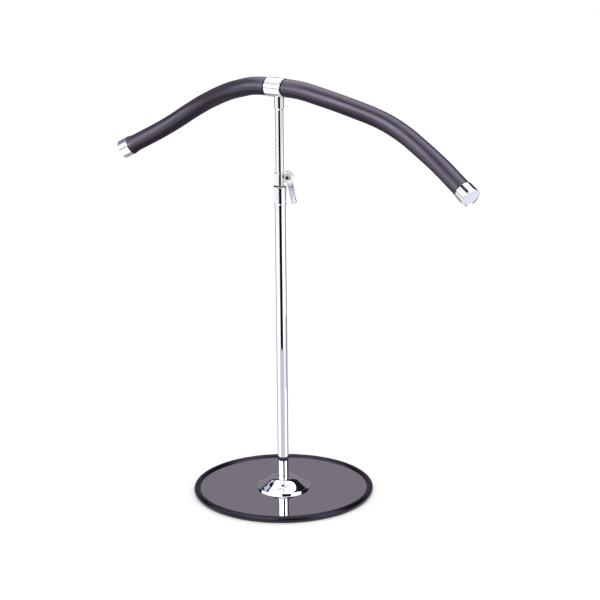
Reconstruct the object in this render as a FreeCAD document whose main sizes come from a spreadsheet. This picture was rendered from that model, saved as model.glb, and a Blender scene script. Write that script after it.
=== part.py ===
import FreeCAD, Part
import math
import os
import Sketcher
from FreeCAD import Placement, Rotation, Vector

# Garment valet stand for a table top: a round base, a telescopic post with a
# clear cam clamp, and a pair of padded arms bent like a pair of shoulders.
# Origin: centre of the base on the table. +Z up, arms along X, -Y is the front.

doc = FreeCAD.newDocument("valet_stand")
up = Vector(0, 0, 1)

# ---------------------------------------------------------------- sizes, in mm and degrees
sizes = {
    # base
    "base_dia": 210.0,
    "plate_thick": 3.2,
    "trim_section": 8.2,
    "trim_land": 2.4,
    "trim_grip": 4.0,
    # cover over the foot of the post
    "cover_dia": 63.8,
    "cover_height": 12.0,
    "cover_rim": 2.4,
    "cover_wall": 1.2,
    "cover_crown_dia": 18.0,
    "cover_shoulder_dia": 40.0,
    "cover_shoulder_drop": 3.8,
    "cover_crown_bow": 16.5,
    "cover_flank_bow": 32.0,
    "cover_rim_round": 1.4,
    # post
    "post_dia": 12.7,
    "post_wall": 1.0,
    "post_length": 356.4,
    "foot_plug_length": 18.0,
    "base_screw_dia": 6.0,
    "base_screw_head_dia": 11.6,
    "base_screw_head_height": 2.8,
    "base_screw_reach": 14.0,
    # sliding rod
    "rod_dia": 9.5,
    "rod_wall": 1.0,
    "rod_length": 290.0,
    "rod_showing": 72.1,
    "rod_edge": 0.9,
    "guide_head_length": 12.0,
    "guide_spigot_length": 14.0,
    "rod_nut_length": 16.0,
    "liner_flange": 0.8,
    "liner_length": 16.0,
    # clear clamp
    "clamp_turn": 32.0,
    "collar_wall": 1.4,
    "collar_length": 20.0,
    "collar_edge": 0.8,
    "neck_wall": 1.3,
    "neck_length": 15.5,
    "step_height": 1.6,
    "cheek_thick": 1.9,
    "cheek_radius": 7.1,
    "cheek_round": 0.7,
    "pin_dia": 3.0,
    "pin_below_neck_top": 4.6,
    "pin_head_dia": 3.6,
    "pin_head_height": 0.8,
    "washer_dia": 7.8,
    "washer_thick": 0.5,
    # cam lever
    "cam_width": 4.4,
    "cam_radius": 3.2,
    "cam_throw": 0.5,
    "lever_lean": 9.5,
    "lever_shift": 1.9,
    "lever_flick": 0.6,
    "lever_length": 30.3,
    "lever_depth": 5.8,
    "lever_width": 8.0,
    "lever_wall": 1.3,
    "lever_gap": 1.0,
    "lever_root": 3.6,
    "lever_round": 0.9,
    "window_half": 1.7,
    # head
    "socket_dia": 11.2,
    "socket_height": 23.9,
    "socket_edge": 1.1,
    "stud_dia": 5.0,
    "stud_reach": 12.0,
    "sleeve_dia": 21.6,
    "sleeve_length": 22.8,
    "sleeve_shift": 3.2,
    "sleeve_round": 1.2,
    # padded arms: four straight runs joined by wide bends
    "bar_dia": 12.7,
    "bar_wall": 1.0,
    "stub_length": 30.6,
    "run_one": 45.0,
    "run_two": 68.5,
    "run_three": 68.5,
    "run_four": 52.0,
    "drop_one": 13.4,
    "drop_two": 18.7,
    "drop_three": 30.8,
    "drop_four": 27.3,
    "sweep_one": -10.4,
    "sweep_two": -21.4,
    "sweep_three": 2.6,
    "sweep_four": 17.6,
    "bend_share": 0.46,
    "grip_dia": 20.3,
    "grip_gap": 1.2,
    "grip_lip_dia": 22.0,
    "grip_lip_length": 3.5,
    "cap_dia": 22.4,
    "cap_length": 13.0,
    "cap_wall": 1.5,
    "cap_edge": 1.2,
    "cap_rim": 1.8,
    "cap_dish": 0.5,
    "cap_spigot": 10.0,
    # clearances
    "slide_gap": 0.06,
    "swivel_gap": 0.05,
    "soft_gap": 0.3,
    "fit_gap": 0.02,
}

sheet = doc.addObject("Spreadsheet::Sheet", "size")
for row, (name, number) in enumerate(sizes.items(), start=1):
    sheet.set(f"A{row}", name)
    sheet.set(f"B{row}", str(number))
    sheet.setAlias(f"B{row}", name)
doc.recompute()


def value(formula):
    """The number that a formula of sheet sizes gives."""
    return float(sheet.evalExpression(str(formula)))


# ---------------------------------------------------------------- heights shared by several pieces
trim_mid = "(sqrt(size.trim_section^2 - size.trim_land^2) / 2)"
plate_under = f"({trim_mid} - size.plate_thick / 2)"
plate_top = f"({trim_mid} + size.plate_thick / 2)"
post_top = f"({plate_top} + size.post_length)"
clamp_seat = f"({post_top} + size.liner_flange)"
neck_top = f"({clamp_seat} + size.neck_length)"
pin_height = f"({neck_top} - size.pin_below_neck_top)"
rod_top = f"({neck_top} + size.rod_showing)"
rod_foot = f"({rod_top} - size.rod_length)"
bar_height = f"({rod_top} + size.socket_height)"

post_bore = "(size.post_dia / 2 - size.post_wall)"
post_insert = f"({post_bore} - size.fit_gap)"
post_hole = "(size.post_dia / 2 + size.fit_gap)"
rod_radius = "(size.rod_dia / 2)"
rod_bore = "(size.rod_dia / 2 - size.rod_wall)"
rod_insert = f"({rod_bore} - size.fit_gap)"
rod_guide_bore = f"({rod_radius} + size.slide_gap)"
stud_hole = "(size.stud_dia / 2 + size.fit_gap)"
screw_hole = "(size.base_screw_dia / 2 + size.fit_gap)"
cam_reach = "(size.cam_radius + size.cam_throw)"
pin_offset = f"({rod_radius} + size.slide_gap + {cam_reach})"
slot_half = "(size.cam_width / 2 + size.washer_thick + size.fit_gap)"
cheek_outer = f"({slot_half} + size.cheek_thick)"
neck_radius = f"({rod_radius} + size.slide_gap + size.neck_wall)"
collar_radius = "(size.post_dia / 2 + size.fit_gap + size.collar_wall)"


# ---------------------------------------------------------------- modelling helpers
def new_body(name):
    body = doc.addObject("PartDesign::Body", name)
    body.Label = name
    return body


def new_sketch(body, name, plane="XZ_Plane"):
    sketch = body.newObject("Sketcher::SketchObject", name)
    support = next(item for item in body.Origin.OriginFeatures if item.Role == plane)
    sketch.AttachmentSupport = [(support, "")]
    sketch.MapMode = "FlatFace"
    return sketch


def bind(sketch, kind, edge, vertex, formula):
    """Ties one coordinate of a sketch point to a formula of sheet sizes."""
    number = value(formula)
    if abs(number) < 1e-9:
        axis = -2 if kind == "DistanceX" else -1
        sketch.addConstraint(Sketcher.Constraint("PointOnObject", edge, vertex, axis))
        return
    index = sketch.addConstraint(Sketcher.Constraint(kind, -1, 1, edge, vertex, number))
    sketch.setExpression(f"Constraints[{index}]", formula)


def bind_radius(sketch, edge, formula):
    index = sketch.addConstraint(Sketcher.Constraint("Radius", edge, value(formula)))
    sketch.setExpression(f"Constraints[{index}]", formula)


def arc_between(start, end, radius):
    """An arc from start to end: a positive radius turns left, a negative one right."""
    middle = (start + end) / 2
    chord = end - start
    left = Vector(-chord.y, chord.x, 0).normalize()
    height = math.sqrt(max(radius * radius - chord.Length ** 2 / 4, 0.0))
    centre = middle + left * math.copysign(height, radius)
    angles = [math.atan2(point.y - centre.y, point.x - centre.x) for point in (start, end)]
    if radius < 0:
        angles.reverse()
    return Part.ArcOfCircle(Part.Circle(centre, up, abs(radius)), *angles)


def draw_outline(sketch, points):
    """Draws a closed outline. A third value at a point makes the edge after it an arc."""
    places = [Vector(value(point[0]), value(point[1]), 0) for point in points]
    starts = []
    ends = []
    for index, point in enumerate(points):
        start = places[index]
        end = places[(index + 1) % len(points)]
        turns_right = False
        if len(point) == 3:
            radius = value(point[2])
            turns_right = radius < 0
            edge = sketch.addGeometry(arc_between(start, end, radius), False)
            bind_radius(sketch, edge, f"abs({point[2]})")
        else:
            edge = sketch.addGeometry(Part.LineSegment(start, end), False)
        starts.append((edge, 2 if turns_right else 1))
        ends.append((edge, 1 if turns_right else 2))
    for index, point in enumerate(points):
        sketch.addConstraint(Sketcher.Constraint("Coincident", *ends[index - 1], *starts[index]))
        bind(sketch, "DistanceX", *starts[index], point[0])
        bind(sketch, "DistanceY", *starts[index], point[1])


def draw_circle(sketch, x, y, radius):
    edge = sketch.addGeometry(Part.Circle(Vector(value(x), value(y), 0), up, value(radius)), False)
    bind(sketch, "DistanceX", edge, 3, x)
    bind(sketch, "DistanceY", edge, 3, y)
    bind_radius(sketch, edge, radius)


def revolve(body, name, points, kind="PartDesign::Revolution"):
    """Turns an outline of radius and height about the body's own Z axis."""
    sketch = new_sketch(body, f"{name}_profile")
    draw_outline(sketch, points)
    turn = body.newObject(kind, name)
    turn.Profile = sketch
    turn.ReferenceAxis = (sketch, ["V_Axis"])
    turn.Angle = 360
    doc.recompute()
    return turn


def turned(name, points):
    body = new_body(name)
    revolve(body, f"{name}_turning", points)
    return body


def extrude(body, sketch, depth, kind="PartDesign::Pad"):
    """Pads or pockets a sketch by the same depth on both sides of its plane."""
    feature = body.newObject(kind, sketch.Label.replace("outline", "depth"))
    feature.Profile = sketch
    feature.SideType = "Symmetric"
    feature.setExpression("Length", depth)
    doc.recompute()
    return feature


def soften(body, name, is_picked, radius):
    """Rounds those edges of the body's last feature that the test picks."""
    base = body.Tip
    edges = enumerate(base.Shape.Edges, start=1)
    picked = [f"Edge{number}" for number, edge in edges if is_picked(edge)]
    feature = body.newObject("PartDesign::Fillet", name)
    feature.Base = (base, picked)
    feature.setExpression("Radius", radius)
    doc.recompute()
    return feature


def place(item, x, y, z, rotation=Rotation()):
    """Puts a body where three formulas of sheet sizes say."""
    item.Placement = Placement(Vector(value(x), value(y), value(z)), rotation)
    for axis, formula in zip("xyz", (x, y, z)):
        item.setExpression(f"Placement.Base.{axis}", formula)


def shaped(name, shape):
    feature = doc.addObject("Part::Feature", name)
    feature.Label = name
    feature.Shape = shape
    return feature


parts = []


# ---------------------------------------------------------------- base
# A polished steel disc, countersunk from below for the one screw that holds the post.
bead_centre = "(size.base_dia / 2 - size.trim_section / 2)"
bead_mouth = f"({bead_centre} - sqrt(size.trim_section^2 - size.plate_thick^2) / 2)"
plate_radius = f"({bead_mouth} + size.trim_grip)"
sink_top = f"({plate_under} + size.base_screw_head_height)"
parts.append(turned("base_plate", [
    (screw_hole, plate_top),
    (screw_hole, sink_top),
    (f"{screw_hole} + (size.base_screw_head_dia - size.base_screw_dia) / 2", plate_under),
    (plate_radius, plate_under),
    (plate_radius, plate_top),
]))

# A rubber bead grips the disc's edge. Its flat land is what the stand rests on.
bead_radius = "(size.trim_section / 2)"
slot_end = f"({plate_radius} + size.fit_gap)"
parts.append(turned("edge_trim", [
    (f"{bead_centre} - size.trim_land / 2", "0"),
    (f"{bead_centre} + size.trim_land / 2", "0", bead_radius),
    (f"{bead_centre} + {bead_radius}", trim_mid, bead_radius),
    (bead_centre, f"{trim_mid} + {bead_radius}", bead_radius),
    (bead_mouth, plate_top),
    (slot_end, plate_top),
    (slot_end, plate_under),
    (bead_mouth, plate_under, bead_radius),
]))

screw_top = f"({plate_top} + size.base_screw_reach)"
parts.append(turned("base_screw", [
    ("0", plate_under),
    ("size.base_screw_head_dia / 2", plate_under),
    ("size.base_screw_dia / 2", sink_top),
    ("size.base_screw_dia / 2", screw_top),
    ("0", screw_top),
]))

# The plug is pressed into the post's foot and takes the screw.
parts.append(turned("foot_plug", [
    (screw_hole, plate_top),
    (post_insert, plate_top),
    (post_insert, f"{plate_top} + size.foot_plug_length"),
    (screw_hole, f"{plate_top} + size.foot_plug_length"),
]))

# ---------------------------------------------------------------- cover over the post's foot
# A spun shell: a crown round the post, a hollow flank and a short upright rim.
crown_z = f"({plate_top} + size.cover_height)"
crown_radius = "(size.cover_crown_dia / 2)"
shoulder_z = f"({crown_z} - size.cover_shoulder_drop)"
shoulder_radius = "(size.cover_shoulder_dia / 2)"
flank_z = f"({plate_top} + size.cover_rim)"
flank_radius = "(size.cover_dia / 2 - size.cover_rim_round)"
parts.append(turned("flange_cover", [
    ("size.cover_dia / 2 - size.cover_wall", plate_top),
    ("size.cover_dia / 2", plate_top),
    ("size.cover_dia / 2", f"{flank_z} - size.cover_rim_round", "size.cover_rim_round"),
    (flank_radius, flank_z, "-size.cover_flank_bow"),
    (shoulder_radius, shoulder_z, "size.cover_crown_bow"),
    (crown_radius, crown_z),
    (post_hole, crown_z),
    (post_hole, f"{crown_z} - size.cover_wall"),
    (crown_radius, f"{crown_z} - size.cover_wall", "-(size.cover_crown_bow - size.cover_wall)"),
    (f"{shoulder_radius} - size.cover_wall * 0.64", f"{shoulder_z} - size.cover_wall * 0.77",
     "size.cover_flank_bow + size.cover_wall"),
    (f"{flank_radius} - size.cover_wall * 0.31", f"{flank_z} - size.cover_wall * 0.95"),
]))

# ---------------------------------------------------------------- post
parts.append(turned("outer_tube", [
    (post_bore, plate_top),
    ("size.post_dia / 2", plate_top),
    ("size.post_dia / 2", post_top),
    (post_bore, post_top),
]))

# A nylon liner guides the rod in the post's mouth. Its flange is caught under the clamp.
parts.append(turned("tube_liner", [
    (rod_guide_bore, f"{post_top} - size.liner_length"),
    (post_insert, f"{post_top} - size.liner_length"),
    (post_insert, post_top),
    ("size.post_dia / 2", post_top),
    ("size.post_dia / 2", clamp_seat),
    (rod_guide_bore, clamp_seat),
]))

# ---------------------------------------------------------------- clear clamp
# One moulding: a collar over the post, a neck round the rod, and two round cheeks
# beside the cam. Its pieces are modelled with the cheeks towards +X and then turned.
clamp = new_body("clamp_body")
collar_foot = f"({clamp_seat} - size.collar_length)"

# The cheeks' edge is a circle about the pin, on a narrow root that rises from the collar.
cheek_top = f"({pin_height} + size.cheek_radius)"
cheek_side = f"({pin_offset} + size.cheek_radius)"
cheek_chin = f"({pin_height} - size.cheek_radius)"
cheek_brow = f"({pin_height} + size.cheek_radius * 0.6)"
cheeks = new_sketch(clamp, "cheek_outline")
draw_outline(cheeks, [
    ("0", clamp_seat),
    (collar_radius, clamp_seat),
    (pin_offset, cheek_chin),
    (cheek_side, pin_height, "size.cheek_radius"),
    (pin_offset, cheek_top, "size.cheek_radius"),
    (f"{pin_offset} - size.cheek_radius * 0.8", cheek_brow),
    ("0", cheek_brow),
])
extrude(clamp, cheeks, f"2 * {cheek_outer}")


def is_round_rim(edge):
    """The arcs at the cheeks' outer faces."""
    return isinstance(edge.Curve, Part.Circle)


soften(clamp, "cheek_rims", is_round_rim, "size.cheek_round")
revolve(clamp, "clamp_shell", [
    ("0", collar_foot),
    (f"{collar_radius} - size.collar_edge", collar_foot),
    (collar_radius, f"{collar_foot} + size.collar_edge"),
    (collar_radius, clamp_seat),
    (neck_radius, f"{clamp_seat} + size.step_height"),
    (neck_radius, neck_top),
    ("0", neck_top),
])
revolve(clamp, "clamp_bore", [
    ("0", f"{collar_foot} - 1"),
    (post_hole, f"{collar_foot} - 1"),
    (post_hole, clamp_seat),
    (rod_guide_bore, clamp_seat),
    (rod_guide_bore, f"{cheek_top} + 1"),
    ("0", f"{cheek_top} + 1"),
], kind="PartDesign::Groove")

# The cam slot opens upward, outward, and downward outside the collar.
slot_floor = f"({pin_height} - {cam_reach} - size.step_height)"
slot_step = f"({collar_radius} + size.slide_gap)"
cam_slot = new_sketch(clamp, "cam_slot_outline")
draw_outline(cam_slot, [
    ("0", slot_floor),
    (slot_step, slot_floor),
    (slot_step, f"{clamp_seat} - 1"),
    (f"{cheek_side} + 1", f"{clamp_seat} - 1"),
    (f"{cheek_side} + 1", f"{cheek_top} + 1"),
    ("0", f"{cheek_top} + 1"),
])
extrude(clamp, cam_slot, f"2 * {slot_half}", kind="PartDesign::Pocket")

pin_hole = new_sketch(clamp, "pin_hole_outline")
draw_circle(pin_hole, pin_offset, pin_height, "size.pin_dia / 2 + size.fit_gap")
extrude(clamp, pin_hole, f"2 * {cheek_outer} + 2", kind="PartDesign::Pocket")
clamp.Placement = Placement(Vector(), Rotation(up, value("size.clamp_turn")))
clamp.setExpression("Placement.Rotation.Angle", "size.clamp_turn")
parts.append(clamp)

# Where the pin crosses the turned clamp, and the turn that lays a body's Z along the pin.
pin_x = f"({pin_offset} * cos(size.clamp_turn))"
pin_y = f"({pin_offset} * sin(size.clamp_turn))"
cheekward = Rotation(up, value("size.clamp_turn"))
along_pin = cheekward * Rotation(Vector(1, 0, 0), 90)

pin = turned("lever_pin", [
    ("0", f"-{cheek_outer}"),
    ("size.pin_dia / 2", f"-{cheek_outer}"),
    ("size.pin_dia / 2", cheek_outer),
    ("size.pin_head_dia / 2", cheek_outer),
    ("size.pin_head_dia / 2", f"{cheek_outer} + size.pin_head_height"),
    ("0", f"{cheek_outer} + size.pin_head_height"),
])
place(pin, pin_x, pin_y, pin_height, along_pin)
parts.append(pin)

# Two brass washers keep the cam central between the cheeks.
pin_bearing = "(size.pin_dia / 2 + size.swivel_gap)"
washer_inner = "(size.cam_width / 2 + size.fit_gap / 2)"


def ring(inner, outer, start, length):
    """A plain ring about Z from the height start upwards."""
    foot = Vector(0, 0, start)
    return Part.makeCylinder(outer, length, foot).cut(Part.makeCylinder(inner, length, foot))


washer_thick = value("size.washer_thick")
washer_starts = [value(washer_inner), -value(washer_inner) - washer_thick]
washer_radii = [value(pin_bearing), value("size.washer_dia / 2")]
washers = shaped("cam_washers", Part.makeCompound([
    ring(*washer_radii, start, washer_thick) for start in washer_starts]))
place(washers, pin_x, pin_y, pin_height, along_pin)
parts.append(washers)

# The lever: an off-centre cam, a stem between the cheeks and a channel-shaped handle.
# It is drawn round the pin, hanging straight down, and each outline leans outward.
lever = new_body("cam_lever")
cam = new_sketch(lever, "cam_outline")
draw_circle(cam, "-size.cam_throw", "0", "size.cam_radius")
extrude(lever, cam, "size.cam_width")

handle_back = "(size.lever_shift - size.lever_depth / 2)"
handle_front = "(size.lever_shift + size.lever_depth / 2)"
handle_top = "(-(size.cheek_radius + size.lever_gap))"
hollow_top = f"({handle_top} - size.lever_root)"
handle_foot = "(-size.lever_length)"


def leaned_outline(name, points):
    """An outline on the lever's middle plane, turned about the pin by the lever's lean."""
    sketch = new_sketch(lever, name)
    sketch.AttachmentOffset = Placement(Vector(), Rotation(up, value("size.lever_lean")))
    sketch.setExpression("AttachmentOffset.Rotation.Angle", "size.lever_lean")
    draw_outline(sketch, points)
    return sketch


extrude(lever, leaned_outline("stem_outline", [
    ("-size.cam_throw", "0"),
    (handle_back, handle_top),
    (handle_back, hollow_top),
    (handle_front, hollow_top),
    (handle_front, handle_top),
    ("size.cam_radius - size.cam_throw", "0"),
]), "size.cam_width")
extrude(lever, leaned_outline("handle_outline", [
    (handle_back, handle_top),
    (handle_back, handle_foot),
    (f"{handle_front} + size.lever_flick", handle_foot),
    (handle_front, f"{handle_foot} + size.lever_depth"),
    (handle_front, handle_top),
]), "size.lever_width")


def is_handle_rim(edge):
    """The long edges on the handle's outer face, and the edges at its foot."""
    side = value("size.lever_width / 2")
    depth = value("size.cheek_radius")
    low = all(abs(abs(point.Point.y) - side) < 0.01 and point.Z < -depth for point in edge.Vertexes)
    return low and edge.BoundBox.XMax > value("size.lever_shift")


soften(lever, "handle_rims", is_handle_rim, "size.lever_round")

# The handle's hollow faces the post and leaves a wall on the other sides.
extrude(lever, leaned_outline("hollow_outline", [
    (f"{handle_back} - 1", hollow_top),
    (f"{handle_back} - 1", f"{handle_foot} + size.lever_wall"),
    (f"{handle_front} - size.lever_wall", f"{handle_foot} + size.lever_wall"),
    (f"{handle_front} - size.lever_wall", hollow_top),
]), "size.lever_width - 2 * size.lever_wall", kind="PartDesign::Pocket")

# A diamond-shaped window is cored through the solid root of the handle.
window_mid = f"({handle_top} - size.lever_root / 2)"
extrude(lever, leaned_outline("window_outline", [
    ("size.lever_shift - size.window_half", window_mid),
    ("size.lever_shift", f"{window_mid} - size.window_half"),
    ("size.lever_shift + size.window_half", window_mid),
    ("size.lever_shift", f"{window_mid} + size.window_half"),
]), "size.lever_width + 2", kind="PartDesign::Pocket")

lever_bore = new_sketch(lever, "lever_bore_outline")
draw_circle(lever_bore, "0", "0", pin_bearing)
extrude(lever, lever_bore, "size.cam_width + 2", kind="PartDesign::Pocket")
place(lever, pin_x, pin_y, pin_height, cheekward)
parts.append(lever)

# ---------------------------------------------------------------- sliding rod
# A nylon guide fills the post below the rod, and its spigot turns in the rod's foot.
guide_foot = f"({rod_foot} - size.guide_head_length)"
guide_radius = f"({post_bore} - size.slide_gap)"
spigot_radius = f"({rod_bore} - size.swivel_gap)"
spigot_top = f"({rod_foot} + size.guide_spigot_length)"
parts.append(turned("rod_guide", [
    ("0", guide_foot),
    (f"{guide_radius} - size.rod_edge", guide_foot),
    (guide_radius, f"{guide_foot} + size.rod_edge"),
    (guide_radius, rod_foot),
    (spigot_radius, rod_foot),
    (spigot_radius, spigot_top),
    ("0", spigot_top),
]))

parts.append(turned("inner_rod", [
    (rod_bore, rod_foot),
    (rod_radius, rod_foot),
    (rod_radius, f"{rod_top} - size.rod_edge"),
    (f"{rod_radius} - size.rod_edge", rod_top),
    (rod_bore, rod_top),
]))

parts.append(turned("rod_nut", [
    (stud_hole, f"{rod_top} - size.rod_nut_length"),
    (rod_insert, f"{rod_top} - size.rod_nut_length"),
    (rod_insert, rod_top),
    (stud_hole, rod_top),
]))

# ---------------------------------------------------------------- head
bar_radius = "(size.bar_dia / 2)"
sleeve_radius = "(size.sleeve_dia / 2)"
stud_top = f"({bar_height} - {sleeve_radius} - size.soft_gap)"
parts.append(turned("head_stud", [
    ("0", f"{rod_top} - size.stud_reach"),
    ("size.stud_dia / 2", f"{rod_top} - size.stud_reach"),
    ("size.stud_dia / 2", stud_top),
    ("0", stud_top),
]))

# The socket stands on the rod and is scooped out to fit the sleeve it is brazed to.
socket = turned("head_socket", [
    (stud_hole, rod_top),
    ("size.socket_dia / 2 - size.socket_edge", rod_top),
    ("size.socket_dia / 2", f"{rod_top} + size.socket_edge"),
    ("size.socket_dia / 2", bar_height),
    (stud_hole, bar_height),
])
scoop = new_sketch(socket, "scoop_outline", plane="YZ_Plane")
draw_circle(scoop, "0", bar_height, f"{sleeve_radius} + size.fit_gap")
extrude(socket, scoop, "size.socket_dia + 2", kind="PartDesign::Pocket")
parts.append(socket)

# The chrome sleeve closes the middle of the bent bar.
sleeve_half = "(size.sleeve_length / 2)"
sleeve_bore = f"({bar_radius} + size.fit_gap)"
sleeve = turned("head_sleeve", [
    (sleeve_bore, f"-{sleeve_half}"),
    (f"{sleeve_radius} - size.sleeve_round", f"-{sleeve_half}", "size.sleeve_round"),
    (sleeve_radius, f"size.sleeve_round - {sleeve_half}"),
    (sleeve_radius, f"{sleeve_half} - size.sleeve_round", "size.sleeve_round"),
    (f"{sleeve_radius} - size.sleeve_round", sleeve_half),
    (sleeve_bore, sleeve_half),
])
head_x = "(-size.sleeve_shift)"
place(sleeve, head_x, "0", bar_height, Rotation(up, Vector(1, 0, 0)))
parts.append(sleeve)

# ---------------------------------------------------------------- padded arms
runs = ["one", "two", "three", "four"]
middle = Vector(value(head_x), 0, value(bar_height))


def run_step(name):
    """The straight run of that name on the right arm, as a vector."""
    drop = math.radians(value(f"size.drop_{name}"))
    sweep = math.radians(value(f"size.sweep_{name}"))
    flat = value(f"size.run_{name}") * math.cos(drop)
    fall = value(f"size.run_{name}") * math.sin(drop)
    return Vector(flat * math.cos(sweep), -flat * math.sin(sweep), -fall)


def right_corners(start):
    """Corners of the right arm, from a distance beside the middle out to the cap."""
    corners = [Vector(start, 0, 0), Vector(value("size.stub_length"), 0, 0)]
    for name in runs:
        corners.append(corners[-1] + run_step(name))
    return corners


def bend_reaches():
    """How far each bend reaches along the straight runs on both sides of its corner."""
    lengths = [value("size.stub_length")] + [value(f"size.run_{name}") for name in runs]
    return [value("size.bend_share") * min(pair) for pair in zip(lengths, lengths[1:])]


def disc(radius, centre, direction):
    return Part.Face(Part.Wire(Part.makeCircle(radius, centre, direction)))


def bent_rod(radius, corners, reaches):
    """A round rod through the corners, with an even bend at each inner one."""
    pieces = []
    start = corners[0]
    for before, corner, after, reach in zip(corners, corners[1:], corners[2:], reaches):
        arriving = (corner - before).normalize()
        leaving = (after - corner).normalize()
        turn = arriving.getAngle(leaving)
        entry = corner - arriving * reach
        inward = (leaving - arriving * arriving.dot(leaving)).normalize()
        centre = entry + inward * (reach / math.tan(turn / 2))
        pieces.append(disc(radius, start, arriving).extrude(entry - start))
        face = disc(radius, entry, arriving)
        pieces.append(face.revolve(centre, arriving.cross(leaving), math.degrees(turn)))
        start = corner + leaving * reach
    last = corners[-1] - start
    pieces.append(disc(radius, start, last).extrude(last))
    return pieces[0].multiFuse(pieces[1:])


def mirrored(point):
    return Vector(-point.x, point.y, point.z)


reaches = bend_reaches()
right_side = right_corners(0)[1:]
bar_corners = [mirrored(point) for point in reversed(right_side)] + right_side
bar_reaches = reaches[::-1] + reaches
bar_outer = bent_rod(value(bar_radius), bar_corners, bar_reaches)
bar_inner = bent_rod(value(f"{bar_radius} - size.bar_wall"), bar_corners, bar_reaches)
bar = shaped("arm_bar", bar_outer.cut(bar_inner))
place(bar, head_x, "0", bar_height)
parts.append(bar)

# Each foam grip starts just past the sleeve and flares into a lip behind its cap.
soft_gap = value("size.soft_gap")
grip_start = value(f"{sleeve_half} + size.grip_gap")
grip_corners = right_corners(grip_start)
grip_corners[-1] = grip_corners[-1] - run_step("four").normalize() * soft_gap
outward = run_step("four").normalize()
lip_start = grip_corners[-1] - outward * value("size.grip_lip_length")
grip_radius = value("size.grip_dia / 2")
lip_radius = value("size.grip_lip_dia / 2")
lip_flare = value("size.grip_lip_length / 2")
grip = bent_rod(grip_radius, grip_corners, reaches)
grip = grip.fuse(Part.makeCone(grip_radius, lip_radius, lip_flare, lip_start, outward))
grip = grip.fuse(Part.makeCylinder(lip_radius, lip_flare, lip_start + outward * lip_flare, outward))
grip = grip.cut(bent_rod(value(bar_radius) + soft_gap, grip_corners, reaches)).removeSplitter()
mirror_plane = Vector(1, 0, 0)
for name, shape in (("right_grip", grip), ("left_grip", grip.mirror(Vector(), mirror_plane))):
    pad = shaped(name, shape)
    place(pad, head_x, "0", bar_height)
    parts.append(pad)

# A plated cup on each end: a rounded wall, a dished face and a spigot in the bar.
cap_radius = "(size.cap_dia / 2)"
cap_dish_z = "(size.cap_length - size.cap_dish)"
cap_floor_z = f"({cap_dish_z} - size.cap_wall)"
bar_insert = f"({bar_radius} - size.bar_wall - size.fit_gap)"
cap_profile = [
    ("0", "-size.cap_spigot"),
    (bar_insert, "-size.cap_spigot"),
    (bar_insert, "0"),
    (bar_radius, "0"),
    (bar_radius, cap_floor_z),
    (f"{cap_radius} - size.cap_wall", cap_floor_z),
    (f"{cap_radius} - size.cap_wall", "0"),
    (cap_radius, "0"),
    (cap_radius, "size.cap_length - size.cap_edge", "size.cap_edge"),
    (f"{cap_radius} - size.cap_edge", "size.cap_length"),
    (f"{cap_radius} - size.cap_rim", "size.cap_length"),
    (f"{cap_radius} - size.cap_rim - size.cap_dish", cap_dish_z),
    ("0", cap_dish_z),
]
cap_end = right_side[-1]
for name, end, facing in (
        ("right_cap", cap_end, outward),
        ("left_cap", mirrored(cap_end), mirrored(outward))):
    cap = turned(name, cap_profile)
    cap.Placement = Placement(middle + end, Rotation(up, facing))
    parts.append(cap)

# ---------------------------------------------------------------- checks and export
doc.recompute()
for item in doc.Objects:
    if "Invalid" in item.State or "Error" in item.State:
        raise RuntimeError(f"{item.Label} did not build: {item.State}")
os.makedirs("parts", exist_ok=True)
for item in parts:
    if item.Shape.isNull() or not item.Shape.isValid():
        raise RuntimeError(f"{item.Label} has no valid shape")
    item.Shape.exportStep(os.path.join("parts", f"{item.Label}.step"))
    print(item.Label, len(item.Shape.Solids), round(item.Shape.Volume), item.Shape.BoundBox)
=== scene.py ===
import math

import bmesh
import bpy
from mathutils import Matrix, Vector, noise


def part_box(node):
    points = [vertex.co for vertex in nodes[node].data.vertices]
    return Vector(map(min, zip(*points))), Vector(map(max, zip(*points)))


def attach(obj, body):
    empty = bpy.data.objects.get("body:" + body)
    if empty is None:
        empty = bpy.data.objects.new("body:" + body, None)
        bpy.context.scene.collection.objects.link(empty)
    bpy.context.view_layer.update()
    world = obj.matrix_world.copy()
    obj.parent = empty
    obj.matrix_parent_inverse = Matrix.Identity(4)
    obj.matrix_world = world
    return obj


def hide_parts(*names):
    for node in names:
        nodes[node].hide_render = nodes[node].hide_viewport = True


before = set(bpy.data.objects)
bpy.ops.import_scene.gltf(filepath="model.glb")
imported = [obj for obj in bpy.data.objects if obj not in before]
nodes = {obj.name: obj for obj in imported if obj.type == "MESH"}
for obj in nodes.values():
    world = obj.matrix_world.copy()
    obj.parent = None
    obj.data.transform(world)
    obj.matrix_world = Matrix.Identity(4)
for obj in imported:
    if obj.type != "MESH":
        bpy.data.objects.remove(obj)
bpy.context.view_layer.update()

scene = bpy.context.scene
print("frame loaded:", len(nodes), "nodes")


# ---- camera
cameraSetup = {
    "place": (1.2324, -1.5492, 0.7681),
    "tilt": 74.83,
    "heading": 39.18,
    "roll": -0.855,
    "lens": 108.0,
    "sensor": 36.0,
    "shift": 0.0653,
}


def makeCamera(setup):
    data = bpy.data.cameras.new("camera")
    data.lens = setup["lens"]
    data.sensor_width = setup["sensor"]
    data.shift_x = setup["shift"]
    camera = bpy.data.objects.new("camera", data)
    scene.collection.objects.link(camera)
    aim = Matrix.Rotation(math.radians(setup["heading"]), 4, "Z")
    aim = aim @ Matrix.Rotation(math.radians(setup["tilt"]), 4, "X")
    aim = aim @ Matrix.Rotation(math.radians(setup["roll"]), 4, "Z")
    camera.matrix_world = Matrix.Translation(setup["place"]) @ aim
    scene.camera = camera


makeCamera(cameraSetup)


# ---- material helpers
millimetres = 1000
evenBlend = 0.5


def newMaterial(name):
    material = bpy.data.materials.new(name)
    material.use_nodes = True
    tree = material.node_tree
    shader = tree.nodes["Principled BSDF"]
    return material, tree, shader


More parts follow.
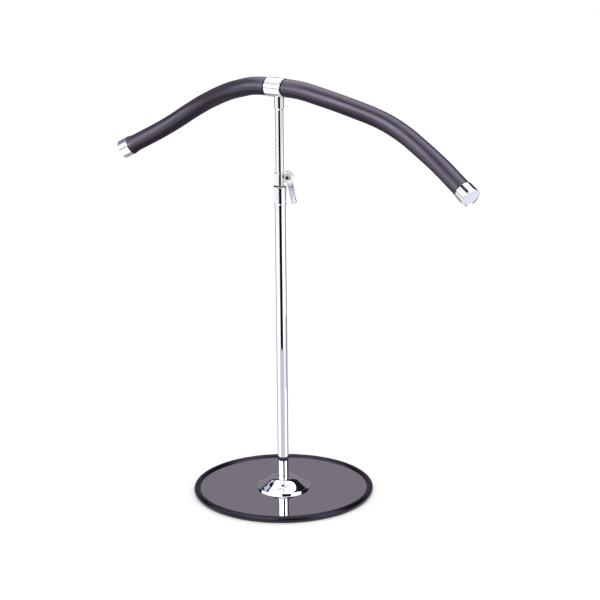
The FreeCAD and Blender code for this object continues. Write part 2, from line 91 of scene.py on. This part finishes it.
def addNode(tree, kind, **settings):
    node = tree.nodes.new(kind)
    for key, setting in settings.items():
        setattr(node, key, setting)
    return node


def objectPoints(tree, stretch=(1, 1, 1)):
    # object coordinates in millimetres, stretched where a grain runs one way
    where = addNode(tree, "ShaderNodeTexCoord")
    scaled = addNode(tree, "ShaderNodeMapping")
    scaled.inputs["Scale"].default_value = [millimetres * part for part in stretch]
    tree.links.new(where.outputs["Object"], scaled.inputs["Vector"])
    return scaled.outputs["Vector"]


def noiseOn(tree, points, scale, detail=3.0, roughness=0.55):
    field = addNode(tree, "ShaderNodeTexNoise")
    field.inputs["Scale"].default_value = scale
    field.inputs["Detail"].default_value = detail
    field.inputs["Roughness"].default_value = roughness
    tree.links.new(points, field.inputs["Vector"])
    return field.outputs["Fac"]


def spread(tree, field, low, high, fromLow=0.3, fromHigh=0.7):
    # moves a value from one range into another
    ramp = addNode(tree, "ShaderNodeMapRange", clamp=True)
    ramp.inputs["From Min"].default_value = fromLow
    ramp.inputs["From Max"].default_value = fromHigh
    ramp.inputs["To Min"].default_value = low
    ramp.inputs["To Max"].default_value = high
    tree.links.new(field, ramp.inputs["Value"])
    return ramp.outputs["Result"]


def colourBetween(tree, field, first, second):
    blend = addNode(tree, "ShaderNodeMix", data_type="RGBA")
    blend.inputs[6].default_value = (*first, 1)
    blend.inputs[7].default_value = (*second, 1)
    tree.links.new(field, blend.inputs[0])
    return blend.outputs[2]


def addBump(tree, shader, field, height, strength=1.0):
    bump = addNode(tree, "ShaderNodeBump")
    bump.inputs["Strength"].default_value = strength
    bump.inputs["Distance"].default_value = height
    tree.links.new(field, bump.inputs["Height"])
    tree.links.new(bump.outputs["Normal"], shader.inputs["Normal"])


# ---- finishes
def metalFinish(name, look):
    material, tree, shader = newMaterial(name)
    points = objectPoints(tree, look["stretch"])
    clouds = noiseOn(tree, points, look["cloudScale"])
    shader.inputs["Metallic"].default_value = 1.0
    colour = colourBetween(tree, clouds, look["dark"], look["light"])
    tree.links.new(colour, shader.inputs["Base Color"])
    polish = noiseOn(tree, points, look["grainScale"])
    tree.links.new(spread(tree, polish, *look["roughness"]), shader.inputs["Roughness"])
    addBump(tree, shader, polish, look["bump"])
    return material


chromeLook = {
    "stretch": (1, 1, 1),
    "cloudScale": 0.05,
    "dark": (0.86, 0.85, 0.88),
    "light": (0.91, 0.91, 0.93),
    "grainScale": 3.0,
    "roughness": (0.02, 0.05),
    "bump": 0.0000004,
}
plateLook = {
    "stretch": (1, 1, 1),
    "cloudScale": 0.03,
    "dark": (0.70, 0.68, 0.72),
    "light": (0.76, 0.74, 0.78),
    "grainScale": 1.5,
    "roughness": (0.015, 0.04),
    "bump": 0.0000003,
}
steelLook = {
    "stretch": (1, 1, 0.2),
    "cloudScale": 0.3,
    "dark": (0.28, 0.27, 0.28),
    "light": (0.46, 0.45, 0.46),
    "grainScale": 6.0,
    "roughness": (0.25, 0.42),
    "bump": 0.000006,
}
brassLook = {
    "stretch": (1, 1, 1),
    "cloudScale": 0.4,
    "dark": (0.95, 0.82, 0.62),
    "light": (0.99, 0.90, 0.74),
    "grainScale": 5.0,
    "roughness": (0.62, 0.75),
    "bump": 0.000004,
}
chrome = metalFinish("polishedChrome", chromeLook)
mirrorSteel = metalFinish("mirrorSteel", plateLook)
turnedSteel = metalFinish("turnedSteel", steelLook)
brass = metalFinish("washerBrass", brassLook)
# painted shade: a near-black steel colour for the lever pin and the arm bar, standing in for the
# shade on the pin's end and in the gaps beside the grips
paintedShadeSteelLook = {**steelLook, "dark": (0.05, 0.045, 0.06), "light": (0.11, 0.10, 0.12)}
paintedShadeSteel = metalFinish("paintedShadeSteel", paintedShadeSteelLook)

rubberLook = {
    "cloudScale": 0.12,
    "grainScale": 2.2,
    "dark": (0.005, 0.004, 0.007),
    "light": (0.009, 0.007, 0.012),
    "roughness": (0.18, 0.26),
    "ior": 1.43,
    "tint": (0.86, 0.80, 1.0),
    "bump": 0.000015,
}


def rubberFinish(name, look):
    material, tree, shader = newMaterial(name)
    points = objectPoints(tree)
    clouds = noiseOn(tree, points, look["cloudScale"])
    grain = noiseOn(tree, points, look["grainScale"], detail=5)
    colour = colourBetween(tree, clouds, look["dark"], look["light"])
    tree.links.new(colour, shader.inputs["Base Color"])
    tree.links.new(spread(tree, grain, *look["roughness"]), shader.inputs["Roughness"])
    shader.inputs["IOR"].default_value = look["ior"]
    shader.inputs["Specular Tint"].default_value = (*look["tint"], 1)
    addBump(tree, shader, grain, look["bump"])
    return material


rubber = rubberFinish("blackRubber", rubberLook)

foamLook = {
    "cloudScale": 0.09,
    "dark": (0.020, 0.0125, 0.025),
    "light": (0.030, 0.021, 0.037),
    "roughness": (0.33, 0.40),
    "ior": 1.9,
    "tint": (0.90, 0.85, 1.0),
    # the next three set a painted sheen on the upper side and painted shade in the reflection on the
    # underside and at the outline
    "paintedTopSheen": (0.06, 0.50),
    "polished": (-0.45, 0.05),
    "paintedEdgeShadeSpan": (0.60, 0.95),
    "cellScale": 1.6,
    "bump": 0.00003,
    "bumpStrength": 0.35,
}


def foamFinish(name, look):
    # closed-cell skin: tiny cells under a slightly uneven surface
    material, tree, shader = newMaterial(name)
    points = objectPoints(tree)
    clouds = noiseOn(tree, points, look["cloudScale"], detail=4)
    cells = addNode(tree, "ShaderNodeTexVoronoi", feature="SMOOTH_F1")
    cells.inputs["Scale"].default_value = look["cellScale"]
    tree.links.new(points, cells.inputs["Vector"])
    colour = colourBetween(tree, clouds, look["dark"], look["light"])
    tree.links.new(colour, shader.inputs["Base Color"])
    tree.links.new(spread(tree, clouds, *look["roughness"]), shader.inputs["Roughness"])
    shader.inputs["IOR"].default_value = look["ior"]
    shader.inputs["Specular Tint"].default_value = (*look["tint"], 1)
    facing = addNode(tree, "ShaderNodeSeparateXYZ")
    where = addNode(tree, "ShaderNodeTexCoord")
    tree.links.new(where.outputs["Normal"], facing.inputs["Vector"])
    # painted sheen and shade: the skin's reflection is kept up on the upper side as a painted sheen,
    # and turned down on the underside and along the outline as painted shade
    paintedTopSheen = spread(tree, facing.outputs["Z"], *look["paintedTopSheen"], *look["polished"])
    grazing = addNode(tree, "ShaderNodeLayerWeight")
    grazing.inputs["Blend"].default_value = evenBlend
    paintedSheenLevel = addNode(tree, "ShaderNodeMath", operation="MULTIPLY")
    tree.links.new(paintedTopSheen, paintedSheenLevel.inputs[0])
    tree.links.new(spread(tree, grazing.outputs["Facing"], 1, 0, *look["paintedEdgeShadeSpan"]), paintedSheenLevel.inputs[1])
    tree.links.new(paintedSheenLevel.outputs["Value"], shader.inputs["Specular IOR Level"])
    addBump(tree, shader, cells.outputs["Distance"], look["bump"], look["bumpStrength"])
    return material


foam = foamFinish("blackFoam", foamLook)

clearLook = {
    "cloudScale": 0.25,
    "flowScale": 0.5,
    "tint": (0.985, 0.985, 0.99),
    "tintCloud": (0.96, 0.965, 0.98),
    # the edge colour is partly the tint of thicker plastic and partly painted shade for dark
    # refracted edges
    "edge": (0.64, 0.61, 0.80),
    "edgeShadeFrom": 0.45,
    "ior": 1.45,
    "roughness": (0.01, 0.03),
    "bump": 0.000003,
}


def clearFinish(name, look):
    material, tree, shader = newMaterial(name)
    points = objectPoints(tree)
    clouds = noiseOn(tree, points, look["cloudScale"])
    flow = noiseOn(tree, points, look["flowScale"], detail=2)
    shader.inputs["Transmission Weight"].default_value = 1.0
    shader.inputs["IOR"].default_value = look["ior"]
    # partly the plastic's own tint through more of the moulding and partly painted shade: the colour
    # darkens where the moulding is seen edge on, standing in for dark edges refracted from round the
    # stand
    edge = addNode(tree, "ShaderNodeLayerWeight")
    edge.inputs["Blend"].default_value = evenBlend
    edgeTintAndShade = spread(tree, edge.outputs["Facing"], 0, 1, look["edgeShadeFrom"], 1)
    blend = addNode(tree, "ShaderNodeMix", data_type="RGBA")
    tree.links.new(edgeTintAndShade, blend.inputs[0])
    tree.links.new(colourBetween(tree, clouds, look["tintCloud"], look["tint"]), blend.inputs[6])
    blend.inputs[7].default_value = (*look["edge"], 1)
    tree.links.new(blend.outputs[2], shader.inputs["Base Color"])
    tree.links.new(spread(tree, flow, *look["roughness"]), shader.inputs["Roughness"])
    addBump(tree, shader, flow, look["bump"])
    return material


clearPlastic = clearFinish("clearPlastic", clearLook)
# the lever's flanks are seen through more of the moulding, and its near-black edge colour is painted
# shade for the dark lines refracted in it
leverLook = {
    **clearLook,
    "tint": (0.90, 0.90, 0.95),
    "tintCloud": (0.80, 0.80, 0.89),
    "edge": (0.03, 0.03, 0.10),
    "edgeShadeFrom": 0.12,
}
leverPlastic = clearFinish("leverPlastic", leverLook)

nylonLook = {
    "cloudScale": 0.12,
    "grainScale": 2.2,
    "dark": (0.70, 0.69, 0.65),
    "light": (0.80, 0.79, 0.76),
    "roughness": (0.38, 0.52),
    "ior": 1.53,
    "tint": (1.0, 1.0, 1.0),
    "bump": 0.00001,
}
nylon = rubberFinish("naturalNylon", nylonLook)
print("finishes made")


# ---- CAD nodes that keep their shape
def finishNode(name, material):
    node = nodes[name]
    node.data.materials.clear()
    node.data.materials.append(material)


nodeFinishes = {
    "base_plate": mirrorSteel,
    "edge_trim": rubber,
    "base_screw": turnedSteel,
    "foot_plug": turnedSteel,
    "flange_cover": chrome,
    "outer_tube": chrome,
    "tube_liner": nylon,
    "clamp_body": clearPlastic,
    "lever_pin": paintedShadeSteel,
    "cam_washers": brass,
    "rod_guide": nylon,
    "inner_rod": chrome,
    "rod_nut": turnedSteel,
    "head_stud": turnedSteel,
    "head_socket": chrome,
    "head_sleeve": chrome,
    "arm_bar": paintedShadeSteel,
    "left_cap": chrome,
    "right_cap": chrome,
}
for nodeName, finish in nodeFinishes.items():
    finishNode(nodeName, finish)


# ---- mesh helpers
sharpAngle = 35.0
roundProfile = 0.5


def ringEdges(verts):
    members = set(verts)
    return [edge for edge in {e for v in verts for e in v.link_edges} if set(edge.verts) <= members]


def pulledRing(bm, verts, shift, grow=1.0):
    # carries a ring of vertices on by a shift, leaving a wall behind it
    made = bmesh.ops.extrude_edge_only(bm, edges=ringEdges(verts))["geom"]
    fresh = [item for item in made if isinstance(item, bmesh.types.BMVert)]
    bmesh.ops.translate(bm, verts=fresh, vec=shift)
    if grow != 1.0:
        centre = sum((v.co for v in fresh), Vector()) / len(fresh)
        bmesh.ops.scale(bm, verts=fresh, vec=(grow,) * 3, space=Matrix.Translation(-centre))
    return fresh


def bentRing(bm, verts, centre, axis, angle, steps):
    made = bmesh.ops.spin(
        bm, geom=list(verts) + ringEdges(verts), cent=centre, axis=axis,
        dvec=(0, 0, 0), angle=angle, steps=steps, use_merge=False, use_duplicate=False)
    return [item for item in made["geom_last"] if isinstance(item, bmesh.types.BMVert)]


def finishPiece(name, bm, material, body, stands):
    mesh = bpy.data.meshes.new(name)
    bm.to_mesh(mesh)
    bm.free()
    mesh.materials.append(material)
    mesh.shade_smooth()
    mesh.set_sharp_from_angle(angle=math.radians(sharpAngle))
    piece = bpy.data.objects.new(name, mesh)
    scene.collection.objects.link(piece)
    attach(piece, body)
    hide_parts(*stands)
    return piece


# ---- foam grips
armRoute = {
    "stub": 0.0306,
    "runs": (0.045, 0.0685, 0.0685, 0.052),
    "drops": (13.4, 18.7, 30.8, 27.3),
    "sweeps": (-10.4, -21.4, 2.6, 17.6),
    "bendShare": 0.46,
    "start": 0.0126,
    "endGap": 0.0003,
}
gripShape = {
    "radius": 0.01015,
    "bore": 0.00665,
    "lipRadius": {1: 0.0106, -1: 0.0114},
    "lipLength": {1: 0.004, -1: 0.008},
    "flareCurve": 1.6,
    "lipShares": (0.15, 0.35, 0.55, 0.75, 0.88, 1.0),
    "edge": 0.0011,
    "edgeSegments": 3,
    "segments": 64,
    "step": 0.003,
    "fewestSteps": 3,
    "waves": 45,
    "unevenness": 0.00012,
}


def armCorners(route):
    corners = [Vector((route["start"], 0, 0)), Vector((route["stub"], 0, 0))]
    for length, drop, sweep in zip(route["runs"], route["drops"], route["sweeps"]):
        down, aside = math.radians(drop), math.radians(sweep)
        flat = length * math.cos(down)
        step = Vector((flat * math.cos(aside), -flat * math.sin(aside), -length * math.sin(down)))
        corners.append(corners[-1] + step)
    return corners


def armReaches(route):
    lengths = (route["stub"], *route["runs"])
    return [route["bendShare"] * min(pair) for pair in zip(lengths, lengths[1:])]


def sweptTube(bm, radius, corners, reaches, shape):
    # a tube wall along straight runs and even bends
    # returns its first and last rings and where the last one is
    first = (corners[1] - corners[0]).normalized()
    turn = Vector((0, 0, 1)).rotation_difference(first).to_matrix().to_4x4()
    made = bmesh.ops.create_circle(
        bm, segments=shape["segments"], radius=radius, matrix=Matrix.Translation(corners[0]) @ turn)
    ring = made["verts"]
    opening = ring
    here = corners[0]
    for before, corner, after, reach in zip(corners, corners[1:], corners[2:], reaches):
        arriving = (corner - before).normalized()
        leaving = (after - corner).normalized()
        bend = arriving.angle(leaving)
        entry = corner - arriving * reach
        inward = (leaving - arriving * arriving.dot(leaving)).normalized()
        middle = entry + inward * (reach / math.tan(bend / 2))
        ring = straightRun(bm, ring, entry - here, shape)
        steps = max(shape["fewestSteps"], round(2 * reach / shape["step"]))
        ring = bentRing(bm, ring, middle, arriving.cross(leaving), bend, steps)
        here = corner + leaving * reach
    return opening, ring, here


def straightRun(bm, ring, run, shape):
    count = max(1, round(run.length / shape["step"]))
    for _ in range(count):
        ring = pulledRing(bm, ring, run / count)
    return ring


def makeGrip(name, side, node):
    corners = armCorners(armRoute)
    outward = (corners[-1] - corners[-2]).normalized()
    corners[-1] = corners[-1] - outward * armRoute["endGap"]
    reaches = armReaches(armRoute)
    bm = bmesh.new()
    outerFirst, outerLast, here = sweptTube(bm, gripShape["radius"], corners, reaches, gripShape)
    lip = outward * gripShape["lipLength"][side]
    outerLast = straightRun(bm, outerLast, corners[-1] - lip - here, gripShape)
    flare = gripShape["lipRadius"][side] / gripShape["radius"] - 1
    reached, grown = 0.0, 1.0
    for share in gripShape["lipShares"]:
        # the skin flares more steeply towards the cap
        wanted = 1 + flare * share ** gripShape["flareCurve"]
        outerLast = pulledRing(bm, outerLast, lip * (share - reached), wanted / grown)
        reached, grown = share, wanted
    # the bore that the arm runs through
    innerFirst, innerLast, here = sweptTube(bm, gripShape["bore"], corners, reaches, gripShape)
    innerLast = straightRun(bm, innerLast, corners[-1] - here, gripShape)
    bmesh.ops.bridge_loops(bm, edges=ringEdges(outerFirst) + ringEdges(innerFirst))
    bmesh.ops.bridge_loops(bm, edges=ringEdges(outerLast) + ringEdges(innerLast))
    rim = ringEdges(outerFirst)
    bmesh.ops.bevel(bm, geom=rim, offset=gripShape["edge"], offset_type="OFFSET",
                    segments=gripShape["edgeSegments"], profile=roundProfile,
                    affect="EDGES", material=-1)
    bmesh.ops.recalc_face_normals(bm, faces=bm.faces)
    for vert in bm.verts:
        # foam is never quite even
        wave = noise.noise(vert.co * gripShape["waves"]) * gripShape["unevenness"]
        vert.co += vert.normal * wave
    if side < 0:
        bmesh.ops.scale(bm, verts=bm.verts, vec=(-1, 1, 1))
        bmesh.ops.reverse_faces(bm, faces=bm.faces)
    low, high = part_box("head_sleeve")
    bmesh.ops.translate(bm, verts=bm.verts, vec=(low + high) / 2)
    grip = finishPiece(name, bm, foam, "head", [node])


makeGrip("rightGrip", 1, "right_grip")
makeGrip("leftGrip", -1, "left_grip")
print("foam grips made")


# ---- clear lever
leverMoulding = {
    "node": "cam_lever",
    "body": "lever",
    "edge": 0.0006,
    "merge": 0.000001,
    "flat": 1.0,
    "sharp": 35.0,
    "segments": 3,
}


def makeMoulding(name, shape):
    # the CAD form with the small round edges that a mould leaves
    bm = bmesh.new()
    bm.from_mesh(nodes[shape["node"]].data)
    bmesh.ops.remove_doubles(bm, verts=bm.verts, dist=shape["merge"])
    flat = math.radians(shape["flat"])
    bmesh.ops.dissolve_limit(bm, angle_limit=flat, verts=bm.verts, edges=bm.edges)
    corners = [edge for edge in bm.edges
               if len(edge.link_faces) == 2 and edge.calc_face_angle() > math.radians(shape["sharp"])]
    bmesh.ops.bevel(bm, geom=corners, offset=shape["edge"], offset_type="OFFSET",
                    segments=shape["segments"], profile=roundProfile, clamp_overlap=True,
                    affect="EDGES", material=-1)
    bmesh.ops.triangulate(bm, faces=bm.faces)
    bmesh.ops.recalc_face_normals(bm, faces=bm.faces)
    finishPiece(name, bm, leverPlastic, shape["body"], [shape["node"]])


makeMoulding("clearLever", leverMoulding)
print("clear lever made")


# ---- studio
# angles here are measured round the stand from the camera's side, positive to the camera's right
studio = {
    "floorSize": 9.0,
    "floorGlow": 0.80,
    "shadowRoom": 0.26,
    "shadowReach": (300, 1500),
    "floorColour": (0.70, 0.70, 0.70),
    "worldLight": 0.30,
    "backWhite": 1.0,
    "tentRadius": 4.2,
    "tentFoot": 0.02,
    "tentSegments": (32, 16),
}
# lamps and cards lean down from level and turn round the upright from the camera's own heading
softboxes = {
    "overheadLamp": {"place": (0.324, 0.412, 1.5), "turn": -31, "lean": 90,
                     "size": (1.87, 1.355), "glow": 1.15},
    "leftLamp": {"place": (-1.27, -0.59, 1.08), "turn": -65, "lean": 0,
                 "size": (2.0, 1.3), "glow": 0.9},
    "rightLamp": {"place": (1.35, -0.95, 0.85), "turn": 55, "lean": 15,
                  "size": (1.5, 1.3), "glow": 1.0},
}
# the lamps' faces and what stands round them, as only polished and clear surfaces show them
lampTint = (0.92, 0.88, 1.0)
dimTint = (1.0, 0.93, 1.06)
skyTint = (0.70, 0.82, 1.08)
faceTint = (0.92, 0.97, 1.06)
wallCards = {
    "overheadMain": {"place": (0.271, 0.451, 1.5), "turn": -31, "lean": 90, "size": (2.0, 0.853),
                     "shade": 2.3, "tint": lampTint},
    "overheadFront": {"place": (-0.237, -0.394, 1.5), "turn": -31, "lean": 90, "size": (2.0, 0.98),
                      "shade": 1.8, "tint": lampTint},
    "leftLow": {"place": (-1.35, -0.30, 0.72), "turn": -77.5, "lean": 0, "size": (1.45, 0.54),
                "shade": 2.9, "tint": lampTint},
    "leftHigh": {"place": (-1.35, -0.30, 1.37), "turn": -77.5, "lean": 0, "size": (1.40, 0.76),
                 "shade": 1.0, "tint": lampTint},
    "frontLow": {"place": (-0.68, -1.22, 0.98), "turn": -29, "lean": 0, "size": (1.08, 1.05),
                 "shade": 4.4, "tint": lampTint},
    "rightSide": {"place": (1.35, -0.95, 0.85), "turn": 55, "lean": 15, "size": (1.5, 1.3),
                  "shade": 2.6, "tint": lampTint},
    "rearSky": {"place": (-0.929, 1.211, 1.5), "turn": -31, "lean": 90, "size": (0.57, 0.78),
                "shade": 0.7, "tint": skyTint},
    "leftSky": {"place": (-1.568, 1.176, 1.5), "turn": -31, "lean": 90, "size": (0.5, 0.6),
                "shade": 0.6, "tint": skyTint},
    "sleeveCard": {"place": (0, 0.25, 0.683), "turn": 0, "lean": 0, "size": (0.34, 0.165),
                   "shade": 1.6, "tint": lampTint},
    "backdrop": {"place": (0, 1.6, 0.62), "turn": 180, "lean": 0, "size": (4.0, 1.2),
                 "shade": 0.24, "tint": dimTint},
}
# a small dark flag between one cap and the lamps over it
capFlag = {"cap": "right_cap", "toward": (-0.617, -0.154, 1.5), "share": 0.2, "turn": -31, "lean": 90,
           "size": (0.26, 0.11), "shade": 0.09, "tint": skyTint}
floorCards = {
    "frontCard": {"from": -27, "to": 27, "near": 0.57, "far": 4.0, "shade": 0.006},
    "nearCard": {"from": -45, "to": 45, "near": 0.106, "far": 0.57, "shade": 0.66},
    "rightCard": {"from": 98, "to": 124, "near": 0.112, "far": 4.0, "shade": 0.06},
    "rightRearCard": {"from": 124, "to": 180, "near": 0.112, "far": 4.0, "shade": 0.5},
    "leftRearCard": {"from": -180, "to": -112, "near": 0.112, "far": 4.0, "shade": 0.42},
    "capCard": {"from": 62, "to": 97, "near": 0.38, "far": 0.75, "shade": 0.90, "tint": faceTint},
}
seenThroughPlastic = (
    "frontCard", "nearCard", "rightCard", "sideTent", "leftLow", "leftHigh", "frontLow", "rightSide",
)
cardHeight = 0.004
cardSteps = 24
tents = {
    "darkTent": {"open": 0, "shade": 0.012, "seenBy": "metal"},
    "sideTent": {"open": 45, "shade": 0.80, "seenBy": "plastic", "tint": (0.72, 0.74, 1.0)},
}


def seenDirectly(tree):
    # 1 for rays from the camera and for what metal and clear plastic show
    light = addNode(tree, "ShaderNodeLightPath")
    total = light.outputs["Is Camera Ray"]
    for output in ("Is Glossy Ray", "Is Transmission Ray"):
        both = addNode(tree, "ShaderNodeMath", operation="MAXIMUM")
        tree.links.new(total, both.inputs[0])
        tree.links.new(light.outputs[output], both.inputs[1])
        total = both.outputs["Value"]
    return total


def makeWorld(setup):
    world = bpy.data.worlds.new("studioWorld")
    scene.world = world
    world.use_nodes = True
    tree = world.node_tree
    background = tree.nodes["Background"]
    background.inputs["Color"].default_value = (1, 1, 1, 1)
    strength = spread(tree, seenDirectly(tree), setup["worldLight"], setup["backWhite"], 0, 1)
    tree.links.new(strength, background.inputs["Strength"])


def stageObject(name, bm, material):
    mesh = bpy.data.meshes.new(name)
    bm.to_mesh(mesh)
    bm.free()
    mesh.materials.append(material)
    item = bpy.data.objects.new(name, mesh)
    scene.collection.objects.link(item)
    return item


def onlyInReflections(card):
    card.visible_camera = False
    card.visible_diffuse = False
    card.visible_transmission = card.name in seenThroughPlastic
    card.visible_volume_scatter = False
    card.visible_shadow = False


def makeFloor(setup):
    material, tree, shader = newMaterial("paleFloor")
    shader.inputs["Base Color"].default_value = (*setup["floorColour"], 1)
    shader.inputs["Roughness"].default_value = 1.0
    shader.inputs["Specular IOR Level"].default_value = 0.0
    shader.inputs["Emission Color"].default_value = (1, 1, 1, 1)
    glow = spread(tree, seenDirectly(tree), 0, setup["floorGlow"], 0, 1)
    # the camera sees less of the glow near the stand, so that its shadow stays
    reach = addNode(tree, "ShaderNodeVectorMath", operation="LENGTH")
    tree.links.new(objectPoints(tree), reach.inputs[0])
    dip = spread(tree, reach.outputs["Value"], -setup["shadowRoom"], 0, *setup["shadowReach"])
    light = addNode(tree, "ShaderNodeLightPath")
    total = addNode(tree, "ShaderNodeMath", operation="MULTIPLY_ADD")
    tree.links.new(light.outputs["Is Camera Ray"], total.inputs[0])
    tree.links.new(dip, total.inputs[1])
    tree.links.new(glow, total.inputs[2])
    tree.links.new(total.outputs["Value"], shader.inputs["Emission Strength"])
    bm = bmesh.new()
    bmesh.ops.create_grid(bm, x_segments=1, y_segments=1, size=setup["floorSize"] / 2)
    stageObject("floor", bm, material)


def cardMaterial(name, shade, tint):
    material = bpy.data.materials.new(name)
    material.use_nodes = True
    tree = material.node_tree
    tree.nodes.clear()
    glow = addNode(tree, "ShaderNodeEmission")
    glow.inputs["Color"].default_value = (*tint, 1)
    glow.inputs["Strength"].default_value = shade
    output = addNode(tree, "ShaderNodeOutputMaterial")
    tree.links.new(glow.outputs["Emission"], output.inputs["Surface"])
    return material


def aimed(place):
    # from the camera's own left-right and near-far directions to the frame's
    return Matrix.Rotation(math.radians(cameraSetup["heading"]), 4, "Z") @ Vector(place)


def makeFloorCard(name, card):
    bm = bmesh.new()
    turn = Matrix.Rotation(math.radians(cameraSetup["heading"] + card["from"]), 4, "Z")
    ends = [bmesh.ops.create_vert(bm, co=turn @ Vector((0, -reach, cardHeight)))["vert"][0]
            for reach in (card["near"], card["far"])]
    edge = bm.edges.new(ends)
    bmesh.ops.spin(bm, geom=[*ends, edge], cent=(0, 0, 0), axis=(0, 0, 1), dvec=(0, 0, 0),
                   angle=math.radians(card["to"] - card["from"]), steps=cardSteps,
                   use_merge=False, use_duplicate=False)
    material = cardMaterial(name, card["shade"], card.get("tint", dimTint))
    onlyInReflections(stageObject(name, bm, material))


def hung(item):
    turn = Matrix.Rotation(math.radians(cameraSetup["heading"] + item["turn"]), 4, "Z")
    lean = Matrix.Rotation(math.radians(90 - item["lean"]), 4, "X")
    return Matrix.Translation(aimed(item["place"])) @ turn @ lean


def makeWallCard(name, card):
    bm = bmesh.new()
    bmesh.ops.create_grid(bm, x_segments=1, y_segments=1, size=0.5)
    bmesh.ops.scale(bm, verts=bm.verts, vec=(*card["size"], 1))
    bmesh.ops.transform(bm, verts=bm.verts, matrix=hung(card))
    onlyInReflections(stageObject(name, bm, cardMaterial(name, card["shade"], card["tint"])))


def makeCapFlag(name, flag):
    low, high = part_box(flag["cap"])
    heading = Matrix.Rotation(math.radians(cameraSetup["heading"]), 4, "Z")
    cap = heading.inverted() @ ((low + high) / 2)
    makeWallCard(name, {**flag, "place": cap.lerp(Vector(flag["toward"]), flag["share"])})


def makeTent(name, tent, setup):
    # a half dome round the lamps: a dark one for metal, and for the clear plastic
    # a pale one with an opening behind the stand
    bm = bmesh.new()
    around, upward = setup["tentSegments"]
    bmesh.ops.create_uvsphere(bm, u_segments=around, v_segments=upward, radius=setup["tentRadius"])
    behind = aimed((0, 1, 0))
    opening = math.radians(tent["open"])
    away = []
    for face in bm.faces:
        middle = face.calc_center_median()
        if middle.z < 0 or middle.angle(behind) < opening:
            away.append(face)
    bmesh.ops.delete(bm, geom=away, context="FACES")
    bmesh.ops.translate(bm, verts=bm.verts, vec=(0, 0, setup["tentFoot"]))
    material = cardMaterial(name, tent["shade"], tent.get("tint", dimTint))
    dome = stageObject(name, bm, material)
    onlyInReflections(dome)
    dome.visible_glossy = tent["seenBy"] == "metal"


def makeSoftbox(name, box):
    data = bpy.data.lights.new(name, "AREA")
    data.shape = "RECTANGLE"
    data.size, data.size_y = box["size"]
    # power that makes the box's face glow at the stated strength
    data.energy = box["glow"] * math.pi * box["size"][0] * box["size"][1]
    lamp = bpy.data.objects.new(name, data)
    lamp.matrix_world = hung(box)
    lamp.visible_camera = False
    lamp.visible_glossy = False
    scene.collection.objects.link(lamp)


makeWorld(studio)
makeFloor(studio)
for tentName, tent in tents.items():
    makeTent(tentName, tent, studio)
for cardName, card in wallCards.items():
    makeWallCard(cardName, card)
makeCapFlag("capFlag", capFlag)
for cardName, card in floorCards.items():
    makeFloorCard(cardName, card)
for boxName, box in softboxes.items():
    makeSoftbox(boxName, box)
scene.view_settings.view_transform = "Standard"
print("studio made")
